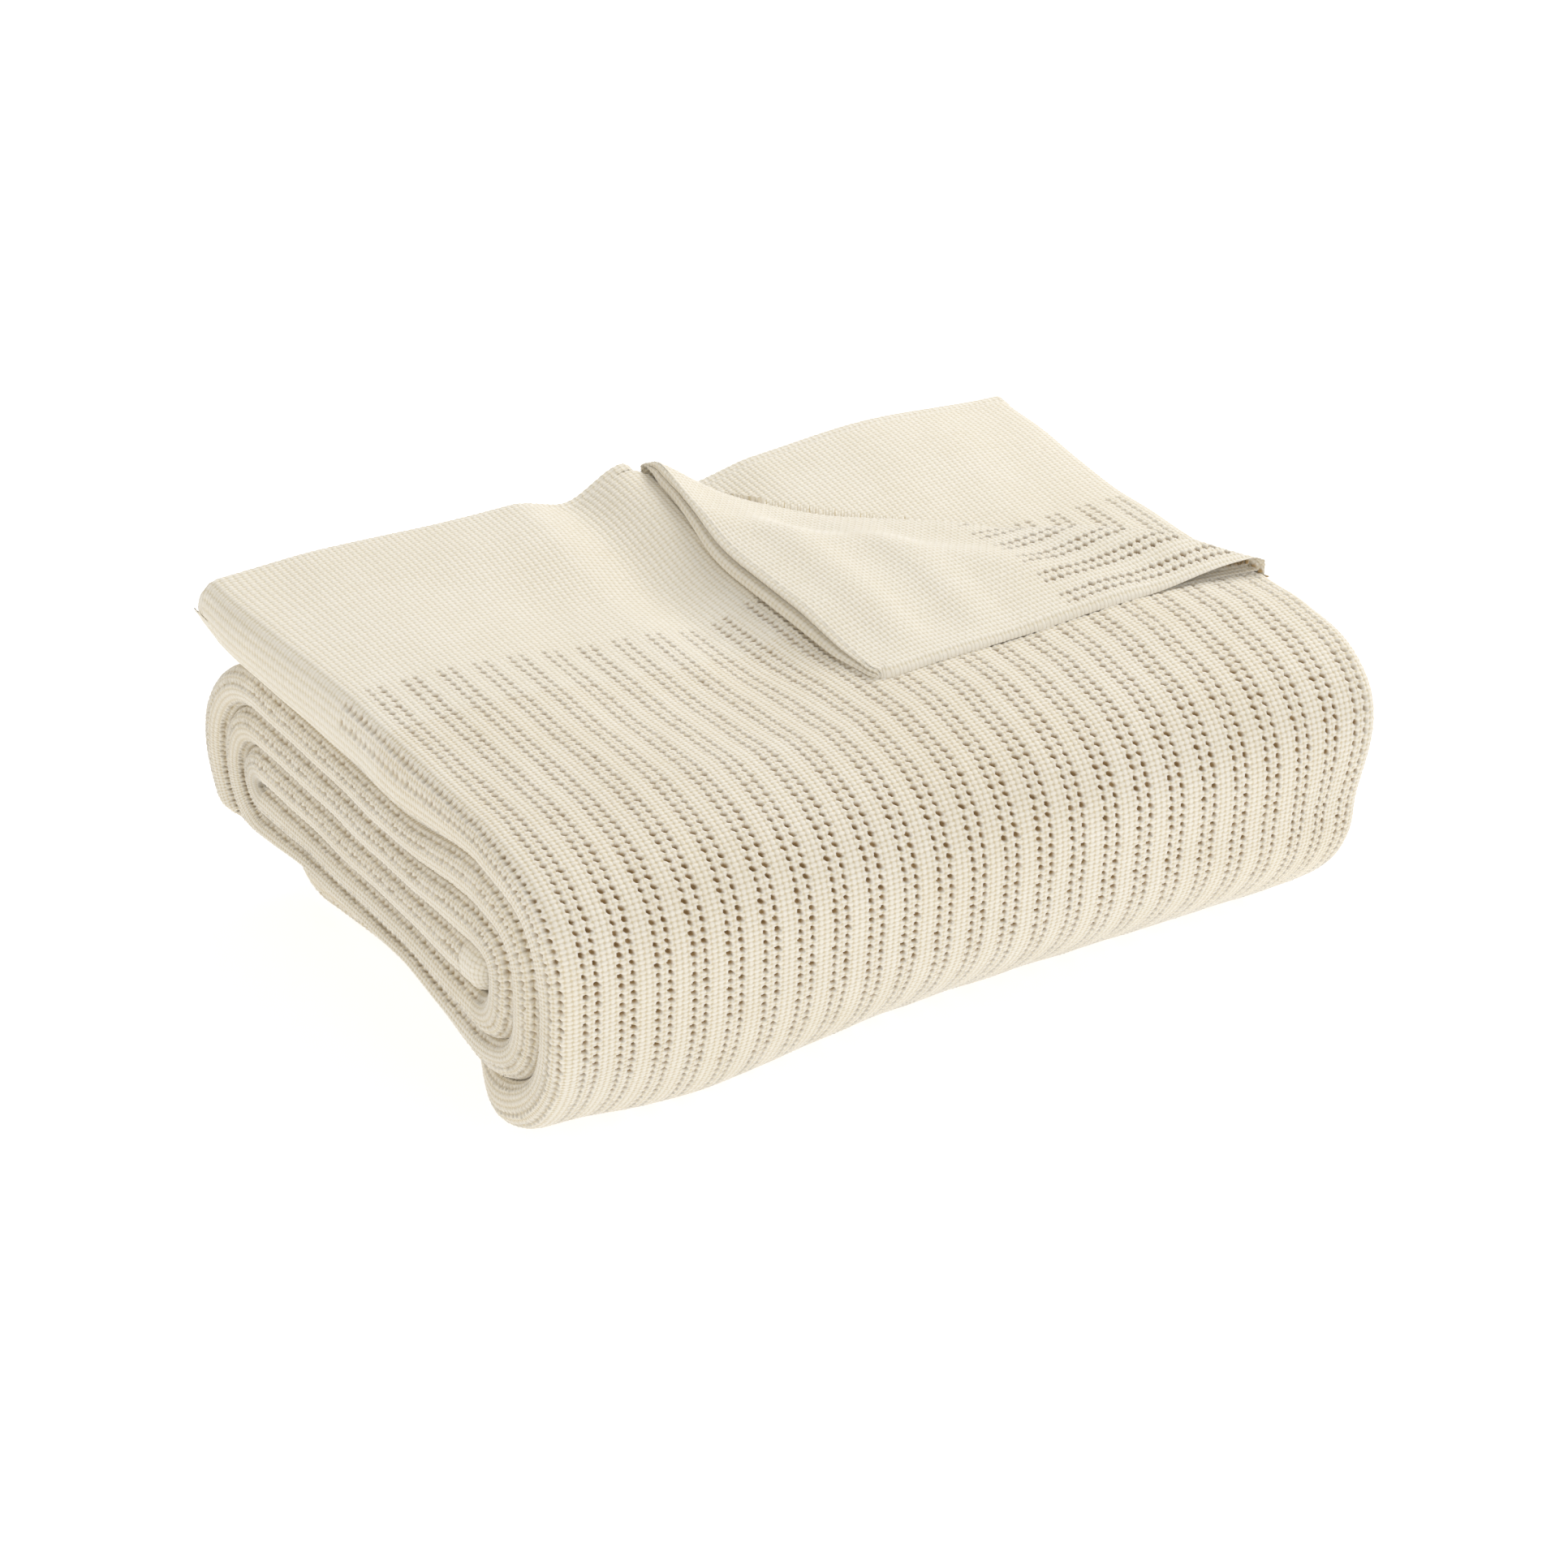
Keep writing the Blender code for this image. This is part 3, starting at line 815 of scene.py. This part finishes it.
def cotton(name, slot, shadow, yarn_depth, gap_painted_shade):
    """Undyed cotton: yarns of slightly different tone, painted shade where they dive and in the
    gaps between them, painted brown shade in holes.

    The factors of u and v set how long and how wide each pattern is, in yarns."""
    finish = Finish(name)
    u, v = finish.yarn_counts()
    warp_wave, weft_wave = (u * pi).sine(), (v * pi).sine()
    warp, weft = warp_wave.absolute(), weft_wave.absolute()
    over = (warp_wave * weft_wave * OVER_SHARP + 0.5).clamped()
    under = 1 - over
    crown = warp ** YARN_ROUND * over + weft ** YARN_ROUND * under
    gap = (1 - warp) * (1 - weft)
    tone = (finish.noise(u.floor() * 7.3, v * 0.11) * over
            + finish.noise(u * 0.09, v.floor() * 5.7) * under)
    fibre = (finish.noise(u * 5.0 + v * 2.2, v * 1.2 - u * 1.5, 1.6, 3.0) * over
             + finish.noise(u * 1.1 - v * 1.6, v * 4.6 + u * 1.7, 1.6, 3.0) * under)
    broad = finish.noise(u * 0.035, v * 0.027)
    # how much painted shade the holes and the hem's groove get
    depth = finish.node("ShaderNodeAttribute", {"attribute_name": "painted_hole_shade"})
    sunk = (Value(finish, depth.outputs["Fac"]) * HOLE_SPREAD - HOLE_ONSET).clamped()
    # painted light on the crowns and painted shade in the gaps, mixed with the yarns' own tone
    light = (crown * CROWN_LIGHT + tone * YARN_LIGHT + fibre * FIBRE_LIGHT
             + broad * BROAD_LIGHT - gap * gap_painted_shade - LIGHT_BASE).clamped()
    body = finish.mixed(light, shadow, CREAM)
    bump = finish.node("ShaderNodeBump", None, {
        "Strength": 0.55, "Distance": 0.0004, "Height": crown * yarn_depth + fibre * FIBRE_DEPTH})
    finish.surface({
        "Base Color": finish.mixed(sunk, body, HOLE_PAINTED_SHADE),
        "Roughness": fibre * ROUGH_VARIES + ROUGH, "Normal": bump.outputs[0],
        "Sheen Weight": 0.25, "Sheen Roughness": 0.5, "Specular IOR Level": 0.2})
    return {"material": finish.material, "slot": slot}


# ---------------------------------------------------------------- stage
AZIMUTH, ELEVATION, DISTANCE = radians(31.78), radians(27.82), 1.65
TARGET = Vector((0.0027, 0, 0.0446))
LENS, SENSOR = 111.3, 36.0
DAYLIGHT = 0.60
FLOOR_REACH, FLOOR_GREY, FLOOR_GLOW = 14.0, 0.55, 0.66
LIT = Vector((0, 0, 0.06))                         # what the lights are turned to
LIGHTS = (               # name, place, size, watts, colour
    ("key", (1.5, 0.7, 1.6), 1.2, 30.5, (1.0, 0.985, 0.96)),
    ("fill", (0.6, -2.2, 1.1), 1.6, 12, (1, 1, 1)),
    ("side", (-2.2, -0.5, 0.8), 1.6, 8, (1.0, 0.92, 0.78)))


def place(obj, where, target):
    """Puts a lamp or camera in the scene and turns it to its target."""
    bpy.context.collection.objects.link(obj)
    obj.location = where
    obj.rotation_euler = (target - where).to_track_quat("-Z", "Y").to_euler()


def add_camera():
    data = bpy.data.cameras.new("camera")
    data.lens, data.sensor_width = LENS, SENSOR
    camera = bpy.data.objects.new("camera", data)
    way = Vector((-sin(AZIMUTH) * cos(ELEVATION), -cos(AZIMUTH) * cos(ELEVATION), sin(ELEVATION)))
    place(camera, TARGET + way * DISTANCE, TARGET)
    bpy.context.scene.camera = camera


def add_stage():
    mesh = bpy.data.meshes.new("floor")
    mesh.from_pydata([(-FLOOR_REACH, -FLOOR_REACH, 0), (FLOOR_REACH, -FLOOR_REACH, 0),
                      (FLOOR_REACH, FLOOR_REACH, 0), (-FLOOR_REACH, FLOOR_REACH, 0)],
                     [], [(0, 1, 2, 3)])
    floor = bpy.data.objects.new("floor", mesh)
    bpy.context.collection.objects.link(floor)
    paint = Finish("studio_floor")
    paint.surface({"Base Color": (FLOOR_GREY, FLOOR_GREY, FLOOR_GREY, 1), "Roughness": 0.9,
                   "Specular IOR Level": 0.1, "Emission Color": (1, 1, 1, 1),
                   "Emission Strength": FLOOR_GLOW})
    mesh.materials.append(paint.material)
    world = bpy.data.worlds.new("studio")
    world.use_nodes = True
    background = world.node_tree.nodes["Background"]
    background.inputs[0].default_value = (1, 1, 1, 1)
    background.inputs[1].default_value = DAYLIGHT
    bpy.context.scene.world = world
    bpy.context.scene.view_settings.view_transform = "Standard"
    for name, where, size, power, colour in LIGHTS:
        data = bpy.data.lights.new(name, "AREA")
        data.size, data.energy, data.color = size, power, colour
        place(bpy.data.objects.new(name, data), Vector(where), LIT)


# ---------------------------------------------------------------- the blanket
PAST_FOLD = 0.004        # the upper hem runs this far past the fold's start
LOWER_OUT = 0.002        # the lower hem stands this far out from its solid


def dress_roll(openwork, band):
    """The folded cloth from the outer hem to the core, in stretches that start at a v count."""
    stretches = (        # name, start, samples, finish, faces that show, body, its solids
        ("top_band_cloth", 0, FINE, band, "both", "top_leaf", ["upper_plies", "lower_plies"]),
        ("top_middle_cloth", 39.5, FINE, band, "both", "top_leaf", []),
        ("top_front_cloth", 71.5, FINE, openwork, "both", "top_leaf", []),
        ("shoulder_cloth", 103.5, FINE, openwork, "outer", None, []),
        ("front_cloth", 145.5, FINE, openwork, "outer", "roll", ["outer_front_bend"]),
        ("foot_cloth", 187.5, FINE, openwork, "outer", "roll", []),
        ("bottom_cloth", 229.5, MEDIUM, openwork, "outer", "roll", ["bottom_leaf"]),
        ("back_lower_cloth", 314.5, MEDIUM, openwork, "outer", "roll", ["outer_back_bend"]),
        ("back_upper_cloth", 368.5, MEDIUM, openwork, "outer", "roll", []),
        ("second_leaf_cloth", 421.5, MEDIUM, openwork, "outer", "roll", ["upper_middle_leaf"]),
        ("second_turn_cloth", 510.5, MEDIUM, openwork, "edges", "roll",
         ["middle_front_bend", "lower_middle_leaf", "middle_back_bend"]),
        ("inner_turns_cloth", 760.5, MEDIUM, openwork, "edges", "roll",
         ["upper_inner_leaf", "inner_front_bend", "lower_inner_leaf", "inner_back_bend",
          "core_leaf"]))
    stops = [stretch[1] for stretch in stretches[1:]] + [CORE_END]
    for (name, start, density, finish, faces, body, nodes), stop in zip(stretches, stops):
        piece = folded_cloth(name, start, stop, density, finish, faces)
        if body:
            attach(piece, body)
        else:
            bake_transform(piece)
        if nodes:
            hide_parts(*nodes)


def dress_corner(openwork, band):
    """The fold's roll and the two faces of the turned corner."""
    roll = corner_face("fold_roll_cloth", FINE, band, ROLL_START, ROLL_ROUND, True)
    way_up = FOLD_AXIS.cross(FOLD_OUT).normalized()
    way_up = way_up * (1 if way_up.z > 0 else -1)
    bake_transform(roll)
    lining = corner_face("corner_lining_cloth", FINE, band, ROLL_ROUND, FAR, True)
    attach(lining, "corner")
    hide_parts("turned_corner")
    face = corner_face("corner_face_cloth", MEDIUM, openwork, 0.0, FAR, False)
    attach(face, "corner")


def dress_hems(hem):
    """The hems, each in place of its own solid."""
    upper = back_hem("upper_hem_cloth", hem, SKIN, 0.0, TOP_REACH + SKIN / 2,
                     FOLD_A.x + PAST_FOLD)
    lower = back_hem("lower_hem_cloth", hem, -GAP, -SKIN, LOWER_REACH + LOWER_OUT, RIGHT)
    for piece, body, node in ((upper, "top_leaf", "upper_hem"), (lower, "top_leaf", "lower_hem"),
                              (core_hem("core_hem_cloth", hem), "roll", "inner_hem"),
                              (corner_hem("corner_hem_cloth", hem), "corner", "corner_hem")):
        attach(piece, body)
        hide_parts(node)


def main():
    openwork = cotton("openwork_cotton_cloth", "openwork_cotton", OPENWORK_SHADOW, 0.8, 1.1)
    band = cotton("plain_band_cotton_cloth", "plain_band_cotton", BAND_SHADOW, 0.9, 0.8)
    hem = cotton("hem_cotton_cloth", "hem_cotton", BAND_SHADOW, 0.9, 0.8)
    add_camera()
    add_stage()
    dress_roll(openwork, band)
    dress_corner(openwork, band)
    dress_hems(hem)


main()
